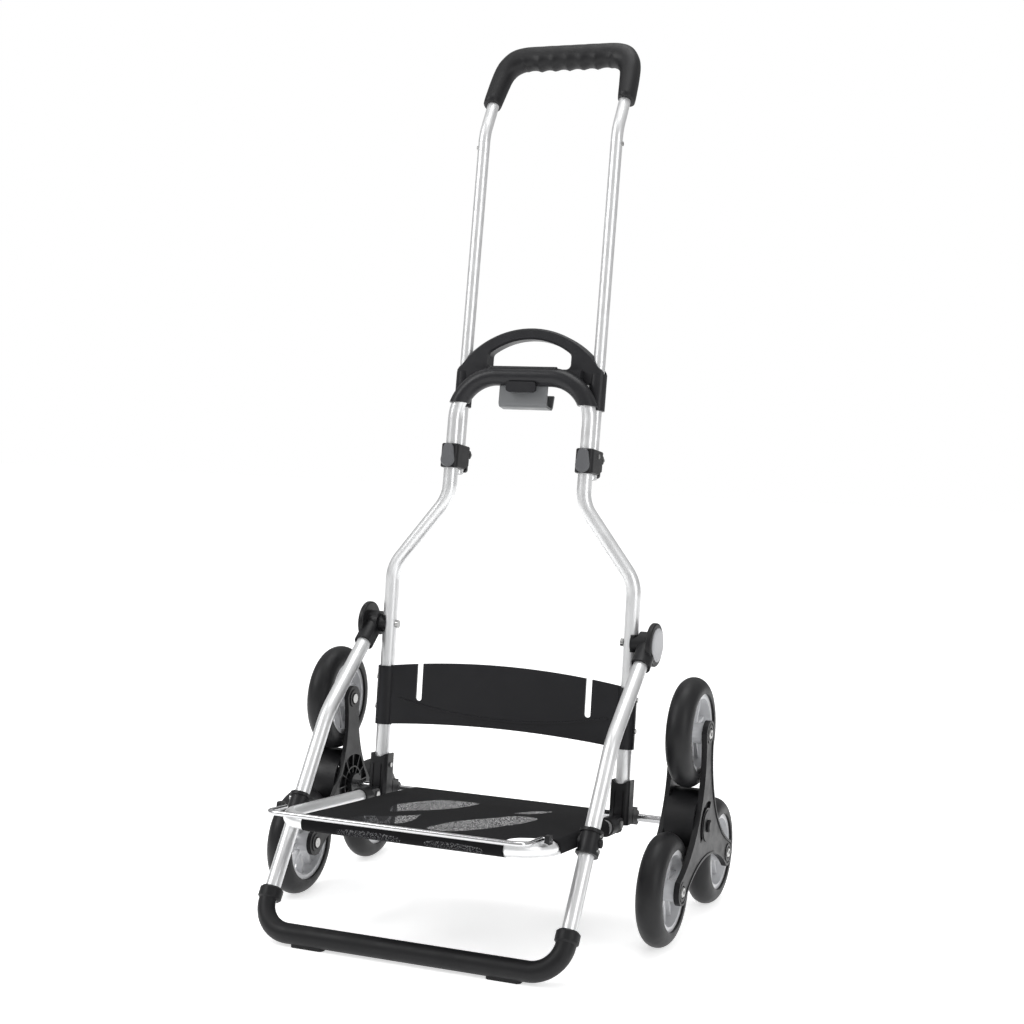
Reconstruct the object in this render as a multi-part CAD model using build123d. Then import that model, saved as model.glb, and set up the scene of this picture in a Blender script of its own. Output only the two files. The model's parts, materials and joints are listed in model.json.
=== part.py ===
from build123d import *
from math import atan2, cos, radians, sin, tan
import os

# Six-wheeled folding shopping trolley chassis, millimetres and degrees.
# X is across the trolley, -Y is the side the bag stands on, +Y is the side of
# the person pulling it, +Z is up. While it is built the wheel axle lies in the
# plane Y = 0; the last step moves everything so that the origin is the centre
# of the bottom of the whole object.

# ---------------------------------------------------------------- dimensions
# wheels and tri-spoke carriers
wheel_radius = 70.0
tyre_section_radius = 16.6
rim_radius = 50.2
rim_half_width = 13.0
rim_wall = 6.5
wheel_hub_radius = 13.0
wheel_side_gap = 0.5
spoke_pairs = 5
spoke_width = 4.6
spoke_half_depth = 4.0
carrier_arm = 118.0
carrier_plate = 6.0
carrier_tip_radius = 17.0
carrier_waist = 40.0
carrier_rim_width = 3.0
carrier_rim_height = 1.2
carrier_tyre_gap = 2.4
axle_cap_radius = 8.0
hub_shell_radius = 46.0
hub_shell_wall = 3.2
hub_rib_count = 12
hub_ring_radius = 24.0
track_half = 252.7
axle_radius = 5.0
wheel_bolt_radius = 4.0
bolt_head_radius = 6.4
bolt_head_height = 3.2
spacer_wall = 2.2

# tubes
frame_tube_radius = 9.5
frame_tube_wall = 1.4
slide_tube_radius = 8.0
slide_tube_wall = 1.2
wire_radius = 3.0

# main frame
frame_half = 171.5
neck_half = 95.6
frame_lean = 5.45
neck_lean = 8.7
frame_ahead_of_axle = 28.9
frame_foot_z = 143.0
low_knee_z = 432.7
high_knee_z = 529.1
top_bar_z = 692.0
knee_radius = 50.0
top_corner_radius = 58.0

# telescopic handle
slide_tube_behind = 21.1
slide_bottom = -131.0
slide_bend = 336.0
slide_bend_radius = 60.0
grip_lean = 32.3
grip_start = 46.0
grip_bar_up = 82.0
grip_corner_radius = 36.0
grip_half_depth = 15.0
grip_foot_inner = 84.0
grip_foot_outer = 109.0
grip_low = -1.0
grip_top = 103.0
grip_palm = 57.5
finger_count = 6
finger_pitch = 22.5
finger_depth = 3.5

# carry handle on the top bar
cover_wall = 3.0
jacket_bottom = -37.0
arch_radius = 124.0
arch_top = 67.5
arch_half = 104.5
arch_half_depth = 10.0
sleeve_radius = 11.6
sleeve_bottom = -40.0
sleeve_top = 8.0
opening_half = 58.5
opening_top = 52.5
opening_bottom = 13.0
opening_arc_radius = 96.0
slide_bush_wall = 1.6
hook_half = 34.0
hook_wall = 3.2
hook_drop = 26.0
hook_reach = 22.0
hook_lip = 17.0

# quick-release clamps
clamp_v = -109.0
clamp_half_height = 16.0
clamp_half_width = 12.4
clamp_front = 13.0
clamp_rear = -34.0
clamp_plate_thickness = 4.0
lever_pin_w = -38.5
lever_pin_v = 6.0
lever_length = 24.0
lever_half_width = 5.5
lever_thickness = 5.0
lever_pin_radius = 2.0

# back panel
panel_w = 2.5
panel_thickness = 3.0
panel_wrap_wall = 2.6
panel_top_mid = 184.0
panel_top_end = 171.0
panel_bottom_mid = 101.5
panel_bottom_end = 92.5
panel_slot_x = 120.0
panel_slot_width = 8.5
panel_slot_bottom = 128.0

# front support leg
leg_half = 195.0
leg_hinge_z = 355.7
leg_knee_y = -138.0
leg_knee_z = 254.5
leg_knee_radius = 110.0
foot_y = -303.0
foot_z = 14.6
foot_corner_radius = 38.0
sleeve_wall = 2.9
sleeve_rise = 45.0
ear_radius = 14.6
pad_x = 128.0
pad_length = 44.0
pad_width = 13.0
hinge_disc_radius = 28.0
hinge_cap_radius = 21.5
hinge_barrel_radius = 16.0
hinge_boss_radius = 12.0
hinge_bolt_radius = 3.0
hinge_gap = 0.4
leg_socket_radius = 13.0
leg_socket_length = 17.0

# platform
platform_ahead = 27.0
platform_reach = 255.0
platform_corner_radius = 52.0
platform_pin_radius = 3.0
fitting_radius = 12.0
fitting_end = 34.0
tongue_half = 4.5
tongue_radius = 9.0
bail_reach = 289.0
bail_half = 166.0
bail_corner_radius = 14.0
bail_pivot_back = 238.0
bail_lift = 12.8
fabric_thickness = 2.0
fabric_lift = 0.5
fabric_back = 12.0
fabric_side_front = 226.0
fabric_left = -133.0
fabric_rear_right = 150.0
fabric_front_right = 146.0
hem_left = -127.0
hem_right = 130.0
collar_radius = 12.4
collar_length = 31.0
collar_flare = 1.8
cloth_edge_room = 1.6
collar_below_hinge_z = 147.0

# clearances
fit_gap = 0.05
run_gap = 0.05
side_gap = 0.4

# ------------------------------------------------------- derived positions
axle_z = wheel_radius + carrier_arm / 2
arm_angles = (90.0, 210.0, 330.0)
arm_names = ("top", "front", "rear")
half_wheel_width = tyre_section_radius
carrier_inner_face = half_wheel_width + carrier_tyre_gap
carrier_outer_face = carrier_inner_face + carrier_plate
hub_half_width = carrier_inner_face - wheel_side_gap
axle_half = track_half + carrier_outer_face + 3.0


def leaning_plane(y, z, lean):
    """Plane across the trolley: local x across, y up the slope, z forwards."""
    forwards = (0, -cos(radians(lean)), sin(radians(lean)))
    return Plane(origin=(0, y, z), x_dir=(1, 0, 0), z_dir=forwards)


def along(start, lean, distance):
    """Point (y, z) reached from start along an upward slope."""
    return (start[0] + distance * sin(radians(lean)),
            start[1] + distance * cos(radians(lean)))


def up_to(start, lean, z):
    """Point (y, z) on a slope at a given height."""
    return along(start, lean, (z - start[1]) / cos(radians(lean)))


frame_root = (-frame_ahead_of_axle, axle_z)
high_knee = up_to(frame_root, frame_lean, high_knee_z)
top_bar = up_to(high_knee, neck_lean, top_bar_z)
frame_plane = leaning_plane(*frame_root, frame_lean)
neck_plane = leaning_plane(*top_bar, neck_lean)
# the leg hinge sits on the frame tube, the platform pin stands in front of it
leg_hinge = up_to(frame_root, frame_lean, leg_hinge_z)
leg_hinge_v = (leg_hinge_z - axle_z) / cos(radians(frame_lean))
axle_in_frame = frame_plane.to_local_coords(Vector(0, 0, axle_z))
platform_pin = frame_plane.from_local_coords(Vector(0, 0, platform_ahead))
platform_plane = Plane(
    origin=(0, platform_pin.Y, platform_pin.Z),
    x_dir=(1, 0, 0),
    z_dir=(0, sin(radians(frame_lean)), cos(radians(frame_lean))),
)
slide_bend_point = neck_plane.from_local_coords(Vector(0, slide_bend, -slide_tube_behind))
grip_origin = along((slide_bend_point.Y, slide_bend_point.Z), grip_lean, grip_start)
grip_plane = leaning_plane(*grip_origin, grip_lean)


# ------------------------------------------------------------------ helpers
def rounded_path(points, radii):
    """Straight runs joined by tangent arcs, one radius per corner."""
    points = [Vector(*p) for p in points]
    pieces = []
    start = points[0]
    for before, corner, after, radius in zip(points, points[1:], points[2:], radii):
        along_in = (corner - before).normalized()
        along_out = (after - corner).normalized()
        half_turn = radians(along_in.get_angle(along_out)) / 2
        setback = radius * tan(half_turn)
        inward = (along_out - along_in).normalized()
        middle = corner + inward * (radius / cos(half_turn) - radius)
        arc_end = corner + along_out * setback
        pieces.append(Line(start, corner - along_in * setback))
        pieces.append(ThreePointArc(corner - along_in * setback, middle, arc_end))
        start = arc_end
    pieces.append(Line(start, points[-1]))
    return Wire(pieces)


def pipe(points, radii, outer, inner=0.0):
    """Round bar or tube along straight runs joined by tangent arcs."""
    path = rounded_path(points, radii)
    section = Circle(outer)
    if inner > 0:
        section -= Circle(inner)
    return sweep(Plane(origin=path @ 0, z_dir=path % 0) * section, path=path)


def rod(start, end, radius):
    """Straight round bar between two points."""
    span = Vector(*end) - Vector(*start)
    place = Plane(origin=start, z_dir=span)
    bar = Cylinder(radius, span.length, align=(Align.CENTER, Align.CENTER, Align.MIN))
    return place * bar


def cross_rod(x_from, x_to, y, z, radius):
    """Round bar parallel to X."""
    return rod((x_from, y, z), (x_to, y, z), radius)


def block(x, y, z):
    """Box given as its low and high limits on each axis."""
    size = (x[1] - x[0], y[1] - y[0], z[1] - z[0])
    middle = ((x[0] + x[1]) / 2, (y[0] + y[1]) / 2, (z[0] + z[1]) / 2)
    return Pos(*middle) * Box(*size)


def rounded_block(x, y, z, radius, axis=Axis.Z):
    """Box with the edges parallel to one axis rounded."""
    solid = block(x, y, z)
    return fillet(solid.edges().filter_by(axis), radius)


def left_of(shape):
    """Mirror image on the other side of the trolley."""
    return mirror(shape, about=Plane.YZ)


def both(shape):
    """A piece and its mirror image, as separate solids."""
    return Compound(children=[*shape.solids(), *left_of(shape).solids()])


def group(*shapes):
    """Several separate solids kept together."""
    solids = []
    for shape in shapes:
        solids.extend(shape.solids())
    return Compound(children=solids)


def arm_tip(angle):
    """Centre (y, z) of a carrier arm's end, from the axle."""
    return (carrier_arm * cos(radians(angle)), carrier_arm * sin(radians(angle)))


def wheel_place(angle):
    y, z = arm_tip(angle)
    return Pos(track_half, y, axle_z + z)


def side_sketch(sketch, x_from, x_to):
    """Extrude a sketch drawn in (y, z) between two X positions."""
    solid = extrude(Plane.YZ * sketch, x_to - x_from)
    return Pos(x_from, 0, 0) * solid


# ------------------------------------------------------------------- frame
def neck_point(x, v, w):
    return neck_plane.from_local_coords(Vector(x, v, w))


def main_frame_tube():
    foot = up_to(frame_root, frame_lean, frame_foot_z)
    knee = up_to(frame_root, frame_lean, low_knee_z)
    right = [
        (frame_half, *foot),
        (frame_half, *knee),
        (neck_half, *high_knee),
        (neck_half, *top_bar),
    ]
    left = [(-x, y, z) for x, y, z in reversed(right)]
    radii = [knee_radius, knee_radius, top_corner_radius]
    radii = radii + radii[::-1]
    inner = frame_tube_radius - frame_tube_wall
    tube = pipe(right + left, radii, frame_tube_radius, inner)
    bolt_hole = cross_rod(-leg_half, leg_half, *leg_hinge, hinge_bolt_radius + fit_gap)
    return tube - bolt_hole


def frame_tube_clearance():
    """Solid bar around the top bar, its bends and both necks."""
    right = [neck_point(neck_half, 2 * slide_bottom, 0), neck_point(neck_half, 0, 0)]
    left = [neck_point(-neck_half, 0, 0), neck_point(-neck_half, 2 * slide_bottom, 0)]
    radii = [top_corner_radius, top_corner_radius]
    return pipe(right + left, radii, frame_tube_radius + fit_gap)


# ------------------------------------------------------- telescopic handle
def slide_tube_points():
    low = neck_point(neck_half, slide_bottom, -slide_tube_behind)
    bend = neck_point(neck_half, slide_bend, -slide_tube_behind)
    corner = grip_plane.from_local_coords(Vector(neck_half, grip_bar_up, 0))
    right = [low, bend, corner]
    left = [Vector(-p.X, p.Y, p.Z) for p in reversed(right)]
    radii = [slide_bend_radius, grip_corner_radius]
    return right + left, radii + radii[::-1]


def telescopic_tube():
    points, radii = slide_tube_points()
    return pipe(points, radii, slide_tube_radius, slide_tube_radius - slide_tube_wall)


def half_grip_points():
    """Outline of the grip's right half as (x, up), from the outer foot to the inner one."""
    outer = [(grip_foot_outer, grip_low), (107.5, 43), (105, 65), (100, 80), (89, 95), (75, 101.5)]
    inner = [(52, grip_palm + 1.5), (66, 60), (75.5, 50), (77.5, 38), (grip_foot_inner, grip_low)]
    return outer, inner


def grip_outline():
    """Fat inverted U seen from the front."""
    outer, inner = half_grip_points()
    outer_line = Spline(*outer, (0, grip_top), tangents=[(-0.05, 1), (-1, 0)])
    inner_line = Spline((46, grip_palm), *inner, tangents=[(1, 0), (0.1, -1)])
    half = make_face([
        outer_line,
        Line((0, grip_top), (0, grip_palm)),
        Line((0, grip_palm), (46, grip_palm)),
        inner_line,
        Line(inner[-1], outer[0]),
    ])
    return half + mirror(half, about=Plane.YZ)


def finger_hollows():
    """Row of shallow round hollows under the crossbar."""
    hollow_radius = (finger_pitch ** 2 / 4 + finger_depth ** 2) / (2 * finger_depth)
    first = -(finger_count - 1) / 2 * finger_pitch
    centre_v = grip_palm + finger_depth - hollow_radius
    hollows = [
        Pos(first + i * finger_pitch, centre_v) * Cylinder(hollow_radius, 80)
        for i in range(finger_count)
    ]
    return hollows


def handle_grip_shell(front):
    """Half of the grip: the front or the rear of its middle plane."""
    depth = grip_half_depth if front else -grip_half_depth
    shell = extrude(grip_outline(), depth)
    far_face = shell.faces().sort_by(Axis.Z)[-1 if front else 0]
    shell = chamfer(far_face.outer_wire().edges(), 4.0, 8.0)
    for hollow in finger_hollows():
        shell -= hollow
    points, radii = slide_tube_points()
    bore = pipe(points, radii, slide_tube_radius + fit_gap)
    return grip_plane * shell - bore


def handle_rivets():
    """Small stop rivets on the outer side of each tube, under the bend."""
    rivet = Cylinder(1.6, 3.0) + Pos(0, 0, 2.0) * Cylinder(3.0, 1.4)
    outward = Plane(
        origin=neck_point(neck_half + slide_tube_radius, slide_bend - 19, -slide_tube_behind),
        z_dir=(1, 0, 0),
    )
    return both(outward * (Pos(0, 0, -1.3) * rivet))


# ------------------------------------------------- carry handle and its hook
def slide_bore(radius):
    """Solid bars along both telescopic tubes, for cutting their passages."""
    right = rod(neck_point(neck_half, 1.5 * slide_bottom, -slide_tube_behind),
                neck_point(neck_half, 100, -slide_tube_behind), radius)
    return right + left_of(right)


def top_bar_wrap(radius):
    """Round jacket along the top bar and its two bends, cut off level."""
    start = -top_corner_radius - 10
    right = [neck_point(neck_half, start, 0), neck_point(neck_half, 0, 0)]
    left = [neck_point(-neck_half, 0, 0), neck_point(-neck_half, start, 0)]
    jacket = pipe(right + left, [top_corner_radius, top_corner_radius], radius)
    reach = 2 * frame_half
    return jacket - neck_plane * block((-reach, reach), (-reach, jacket_bottom), (-reach, reach))


def carry_handle_front():
    jacket = top_bar_wrap(frame_tube_radius + cover_wall)
    reach = 2 * frame_half
    rear_half = neck_plane * block((-reach, reach), (-reach, reach), (-reach, 0))
    tab = rounded_block((-21, 21), (-22, -8), (frame_tube_radius - 2, 12.4), 5)
    brow = rounded_block((-46, 46), (2, 13.2), (0, 8.5), 3, Axis.X)
    shell = (jacket - rear_half) + neck_plane * tab + neck_plane * brow
    return shell - frame_tube_clearance()


def arch_outline():
    """Face of the carry handle: a bow over the hand opening."""
    bow = Pos(0, arch_top - arch_radius) * Circle(arch_radius)
    band = Pos(0, arch_top / 2 - 3.5) * Rectangle(2 * arch_half, arch_top + 7)
    face = bow & band
    hole_arc = Pos(0, opening_top - opening_arc_radius) * Circle(opening_arc_radius)
    hole_box = Pos(0, (opening_top + opening_bottom) / 2) * Rectangle(
        2 * opening_half, opening_top - opening_bottom)
    hole = hole_arc & hole_box
    hole = fillet(hole.vertices(), 7)
    return face - hole


def carry_handle_rear():
    centre_w = -slide_tube_behind
    face = Plane.XY.offset(centre_w - arch_half_depth) * arch_outline()
    arch = extrude(face, 2 * arch_half_depth)
    rims = arch.faces().filter_by(Axis.Z)
    arch = chamfer(rims.edges(), 2.4)
    sleeve = Cylinder(sleeve_radius, sleeve_top - sleeve_bottom)
    sleeve = Pos(neck_half, (sleeve_top + sleeve_bottom) / 2, centre_w) * Rot(90, 0, 0) * sleeve
    arch += sleeve
    arch += Pos(-2 * neck_half, 0, 0) * sleeve
    reach = 2 * frame_half
    front_half = neck_plane * block((-reach, reach), (-reach, reach), (-side_gap, reach))
    jacket = top_bar_wrap(frame_tube_radius + cover_wall) - front_half
    saddle = block((-78, 78), (-9, 11), (centre_w + arch_half_depth - 1, -side_gap))
    body = neck_plane * arch + jacket + neck_plane * saddle
    body -= frame_tube_clearance()
    return body - slide_bore(slide_tube_radius + run_gap + slide_bush_wall + fit_gap)


def slide_bushes():
    """Thin guide sleeves between the carry handle and the sliding tubes."""
    low = neck_point(neck_half, sleeve_bottom, -slide_tube_behind)
    high = neck_point(neck_half, sleeve_top, -slide_tube_behind)
    inner = slide_tube_radius + run_gap
    bush = rod(low, high, inner + slide_bush_wall)
    return both(bush - rod(low, high, inner))


def carry_handle_screws():
    """Four screws through the rear half into the front cover."""
    screws = []
    for x in (30, 70):
        shaft = rod((x, 4, -32), (x, 4, -20), 1.8)
        head = rod((x, 4, -33), (x, 4, -30.9), 3.4)
        screws.append(neck_plane * (shaft + head))
    return both(group(*screws))


def bag_hook():
    """J-shaped hook across the middle, under the top bar."""
    top = -(frame_tube_radius + cover_wall)
    bottom = top - hook_drop
    line = FilletPolyline(
        (0, top), (0, bottom), (-hook_reach, bottom - 2), (-hook_reach - 4, bottom + hook_lip),
        radius=[5, 6],
    )
    profile = trace(line, hook_wall)
    solid = extrude(profile, hook_half, both=True)
    # the profile is drawn in (w, v); turn it so that it runs across the trolley
    to_side = Plane(origin=neck_plane.origin, x_dir=neck_plane.z_dir, z_dir=-neck_plane.x_dir)
    return to_side * solid


# -------------------------------------------------------- tube clamps
def clamp_space(right_shape):
    """Place a shape drawn around one neck tube's clamp."""
    return neck_plane * (Pos(neck_half, clamp_v, 0) * right_shape)


def clamp_body():
    w_mid = (clamp_front + clamp_rear) / 2
    body = Pos(0, 0, w_mid) * Box(
        2 * clamp_half_width, 2 * clamp_half_height, clamp_front - clamp_rear)
    body = fillet(body.edges().filter_by(Axis.Y), 7)
    body = chamfer(body.faces().filter_by(Axis.Y).edges(), 1.2)
    heel = Pos(0, -clamp_half_height, clamp_rear) * Rot(24, 0, 0) * Box(60, 16, 60)
    body -= heel
    ear = Pos(0, lever_pin_v, clamp_rear) * Box(
        2 * clamp_half_width - 6, 11, 2 * (clamp_rear - lever_pin_w) + 6)
    ear = fillet(ear.edges().filter_by(Axis.X), 4.5)
    body += ear
    gap = lever_half_width + side_gap
    pocket = block((-gap, gap), (lever_pin_v - 40, lever_pin_v + 30), (-80, clamp_rear))
    shoe_pocket = block((-gap, gap), (-7, 13), (clamp_rear, -slide_tube_behind))
    body -= pocket + shoe_pocket
    body = clamp_space(body)
    body -= slide_bore(slide_tube_radius + run_gap)
    body -= clamp_cross_screw(fit_gap) + clamp_lever_pin(fit_gap)
    return body - frame_tube_clearance()


def clamp_cross_screw(extra):
    w = -(frame_tube_radius + slide_tube_behind - slide_tube_radius) / 2
    shaft = rod((-clamp_half_width + 3, 8, w), (clamp_half_width, 8, w), 1.5 + extra)
    head = rod((clamp_half_width - 1.5, 8, w), (clamp_half_width + 1.2, 8, w), 3.2 + extra)
    return clamp_space(shaft + head)


def clamp_lever_pin(extra):
    half = clamp_half_width - 1.5
    pin = rod((-half, lever_pin_v, lever_pin_w), (half, lever_pin_v, lever_pin_w),
              lever_pin_radius + extra)
    return clamp_space(pin)


def clamp_plate():
    """Pear-shaped cover on the front of the clamp."""
    top = Pos(0, 9) * Circle(7.2)
    bottom = Pos(0, -6) * Circle(9.6)
    outline = make_hull(top.edges() + bottom.edges())
    plate = extrude(Plane.XY.offset(clamp_front) * outline, clamp_plate_thickness)
    rim = plate.faces().sort_by(Axis.Z)[-1]
    return clamp_space(chamfer(rim.edges(), 1.6))


def clamp_lever():
    """Cam lever that hangs down behind the clamp."""
    cam_radius = lever_pin_w * -1 + clamp_rear - side_gap
    cam = rod((-lever_half_width, 0, 0), (lever_half_width, 0, 0), cam_radius)
    arm = block((-lever_half_width, lever_half_width), (-lever_length, 0),
                (-cam_radius, -cam_radius + lever_thickness))
    arm = fillet(arm.edges().filter_by(Axis.Z).group_by(Axis.Y)[0], 4)
    lever = cam + arm
    lever -= rod((-20, 0, 0), (20, 0, 0), lever_pin_radius + run_gap)
    return clamp_space(Pos(0, lever_pin_v, lever_pin_w) * lever)


def clamp_shoe():
    """Brake pad that the cam presses on the sliding tube."""
    pad = block((-lever_half_width + 0.3, lever_half_width - 0.3), (-6, 12),
                (clamp_rear + 0.1, -slide_tube_behind - 2))
    pad = clamp_space(pad)
    return pad - slide_bore(slide_tube_radius + run_gap)


# ------------------------------------------------------------- back panel
def back_panel():
    wrap_outer = frame_tube_radius + panel_wrap_wall
    face = make_face([
        ThreePointArc((-frame_half, panel_top_end), (0, panel_top_mid), (frame_half, panel_top_end)),
        Line((frame_half, panel_top_end), (frame_half, panel_bottom_end)),
        ThreePointArc((frame_half, panel_bottom_end), (0, panel_bottom_mid),
                      (-frame_half, panel_bottom_end)),
        Line((-frame_half, panel_bottom_end), (-frame_half, panel_top_end)),
    ])
    slot_height = panel_top_mid - panel_slot_bottom + 10
    slot = Pos(panel_slot_x, panel_slot_bottom + slot_height / 2) * Rectangle(
        panel_slot_width, slot_height)
    slot = fillet(slot.vertices().group_by(Axis.Y)[0], panel_slot_width / 2 - 0.5)
    face -= slot
    face -= mirror(slot, about=Plane.YZ)
    sheet = extrude(Plane.XY.offset(panel_w) * face, panel_thickness)
    ridge_line = ThreePointArc((-148, 129), (0, 112.5), (148, 129))
    ridge = extrude(Plane.XY.offset(panel_w + panel_thickness) * trace(ridge_line, 2.6), 1.3)
    panel = sheet + ridge
    height = panel_top_end - panel_bottom_end
    wrap = Cylinder(wrap_outer, height)
    keep = block((-frame_half, 40), (-height, height), (-40, 40))
    keep -= block((-60, -2), (-height, height), (-40, 1.5))
    wrap = (Rot(90, 0, 0) * wrap) & keep
    right = Pos(frame_half, (panel_top_end + panel_bottom_end) / 2, 0) * wrap
    panel += right
    panel += mirror(right, about=Plane.YZ)
    bore = rod((frame_half, 0, 0), (frame_half, 300, 0), frame_tube_radius + fit_gap)
    panel -= bore
    panel -= mirror(bore, about=Plane.YZ)
    return frame_plane * panel


def frame_screws():
    """Panel screws on the outer side and bracket screws on the inner side."""
    screws = []
    places = [(leg_hinge_v - 72, 1), (leg_hinge_v - 112, 1), (38, -1)]
    for v, side in places:
        wall = frame_tube_radius + (panel_wrap_wall if side > 0 else bracket_wall)
        tip = frame_half + side * (frame_tube_radius - 2)
        seat = frame_half + side * wall
        shaft = rod((tip, v, 0), (seat, v, 0), 1.7)
        head = rod((seat, v, 0), (seat + side * 1.8, v, 0), 3.2)
        screws.append(shaft + head)
    return screws


bracket_wall = 3.6
bracket_top = 53.0
bracket_bottom = -3.0
bracket_half = frame_tube_radius + bracket_wall
axle_boss_radius = 9.5


def screw_set(extra):
    """All frame screws on the right side, enlarged for cutting their holes."""
    solids = []
    for screw in frame_screws():
        solids.append(screw if extra == 0 else offset(screw, extra))
    return frame_plane * group(*solids)


# ------------------------------------------------------- bottom brackets
def bracket():
    """Socket for the frame tube, bearing block for the axle, tongue for the platform."""
    body = rounded_block(
        (frame_half - bracket_half, frame_half + bracket_half - 0.4),
        (bracket_bottom, bracket_top), (-bracket_half, bracket_half - 0.8), 5, Axis.Y)
    mouth = rod((frame_half, bracket_top + 9, -40), (frame_half, bracket_top + 9, 40), 13)
    body -= mouth
    for x in (-5.5, 5.5):
        groove = block((frame_half + x - 0.9, frame_half + x + 0.9), (8, 40),
                       (bracket_half - 2.0, bracket_half + 5))
        body -= groove
    v, w = axle_in_frame.Y, axle_in_frame.Z
    boss_inner = frame_half - bracket_half
    boss_outer = frame_half + bracket_half - 0.4
    body += rod((boss_inner, v, w), (boss_outer, v, w), axle_boss_radius)
    body += block((boss_inner, boss_outer), (bracket_bottom, 16), (w, -bracket_half + 2))
    body += rounded_block(
        (frame_half - tongue_half, frame_half + tongue_half),
        (-tongue_radius, tongue_radius), (0, platform_ahead + tongue_radius), tongue_radius - 0.5,
        Axis.X)
    tube_seat = (frame_foot_z - axle_z) / cos(radians(frame_lean))
    body -= rod((frame_half, tube_seat, 0), (frame_half, 100, 0), frame_tube_radius + fit_gap)
    body -= rod((0, v, w), (300, v, w), axle_radius + fit_gap)
    body -= rod((0, 0, platform_ahead), (300, 0, platform_ahead), platform_pin_radius + run_gap)
    return frame_plane * body


def axle_rod():
    bar = cross_rod(-axle_half, axle_half, 0, axle_z, axle_radius)
    return chamfer(bar.edges().filter_by(GeomType.CIRCLE), 1)


def axle_caps():
    """Press-on caps that keep the carriers on the axle."""
    start = track_half + carrier_outer_face + carrier_rim_height + side_gap
    cap = cross_rod(start, start + 3.6, 0, axle_z, axle_cap_radius)
    cap = chamfer(cap.edges().group_by(Axis.X)[-1], 1.5)
    cap -= cross_rod(0, axle_half + fit_gap, 0, axle_z, axle_radius + fit_gap)
    return both(cap)


# --------------------------------------------------- tri-spoke carriers
def carrier_outline():
    """Three arms with round ends, joined by hollow curves."""
    tips = [arm_tip(angle) for angle in arm_angles]
    outline = offset(Polygon(*tips, align=None), carrier_tip_radius)
    near = carrier_waist - carrier_tip_radius
    distance = (carrier_arm ** 2 - near ** 2) / (carrier_arm - 2 * near)
    for angle in arm_angles:
        opposite = radians(angle + 180)
        hollow = Circle(distance - carrier_waist)
        outline -= Pos(distance * cos(opposite), distance * sin(opposite)) * hollow
    return outline


def tip_circles(radius):
    circles = Sketch()
    for angle in arm_angles:
        circles += Pos(*arm_tip(angle)) * Circle(radius)
    return circles


def hub_slot():
    """Curved window beside the hub, on the front side."""
    arc = CenterArc((0, 0), 27, 62, 150)
    return trace(arc, 8.5)


def carrier_outer():
    """Outer face with raised borders, and the drum that spaces it from the inner face."""
    outline = carrier_outline()
    plate = side_sketch(outline, carrier_inner_face, carrier_outer_face)
    border = outline - offset(outline, -carrier_rim_width)
    border += tip_circles(12) & outline
    border += Circle(20)
    plate += side_sketch(border, carrier_outer_face - 1, carrier_outer_face + carrier_rim_height)
    plate -= side_sketch(hub_slot(), carrier_outer_face - 3.5, carrier_outer_face + 5)
    drum = Circle(hub_shell_radius) - Circle(hub_shell_radius - hub_shell_wall)
    for angle in arm_angles:
        drum -= Pos(*arm_tip(angle)) * Circle(wheel_radius + carrier_tyre_gap)
    wall = side_sketch(drum, -carrier_inner_face + side_gap / 4, carrier_inner_face)
    boss = Circle(axle_radius + 6.6)
    solid = plate + wall + side_sketch(boss, -4, carrier_inner_face)
    seat = bolt_head_radius + 1.6
    solid -= side_sketch(tip_circles(seat), carrier_outer_face - 0.8, carrier_outer_face + 5)
    solid -= side_sketch(tip_circles(wheel_bolt_radius + fit_gap), 0, carrier_outer_face + 5)
    bore = Circle(axle_radius + run_gap)
    solid -= side_sketch(bore, -10, carrier_outer_face + 5)
    return Pos(track_half, 0, axle_z) * solid


def carrier_inner():
    """Inner face, open at the hub to show its ring and ribs."""
    outline = carrier_outline()
    plate = side_sketch(outline, -carrier_outer_face, -carrier_inner_face)
    pocket = (offset(outline, -4.5) & Circle(40)) - Circle(14)
    pocket_cut = side_sketch(pocket, -carrier_outer_face - 1, -carrier_inner_face - 1.5)
    plate -= pocket_cut
    ribs = Circle(hub_ring_radius) - Circle(hub_ring_radius - 1.8)
    for i in range(hub_rib_count):
        ribs += Rot(0, 0, 360 / hub_rib_count * i) * (Pos(26, 0) * Rectangle(28, 1.6))
    plate += side_sketch(ribs & offset(outline, -2), -carrier_outer_face, -carrier_inner_face)
    inner_end = -carrier_outer_face - 5
    plate += side_sketch(Circle(14), inner_end, -6)
    raised = tip_circles(12) & outline
    plate += side_sketch(raised, -carrier_outer_face - carrier_rim_height, -carrier_inner_face)
    seat = bolt_head_radius + 1.6
    plate -= side_sketch(tip_circles(seat), -carrier_outer_face - 5, -carrier_outer_face + 0.8)
    plate -= side_sketch(tip_circles(wheel_bolt_radius + fit_gap), -carrier_outer_face - 5, 0)
    bore = Circle(axle_radius + run_gap)
    plate -= side_sketch(bore, inner_end - 1, 0)
    return Pos(track_half, 0, axle_z) * plate


def wheel_bolts():
    """One bolt through each arm, with a domed head and a nut of the same size."""
    face = carrier_outer_face - 0.8
    bolts = []
    for angle in arm_angles:
        shaft = cross_rod(-face - 1, face + 1, 0, 0, wheel_bolt_radius)
        head = cross_rod(face, face + bolt_head_height, 0, 0, bolt_head_radius)
        head = chamfer(head.edges().group_by(Axis.X)[-1], 1.2)
        hexagon = Rot(0, 90, 0) * extrude(RegularPolygon(3.0, 6), 2)
        head -= Pos(face + bolt_head_height - 1.6, 0, 0) * hexagon
        nut = cross_rod(-face - bolt_head_height, -face, 0, 0, bolt_head_radius)
        bolts.append(wheel_place(angle) * (shaft + head + nut))
    return group(*bolts)


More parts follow.
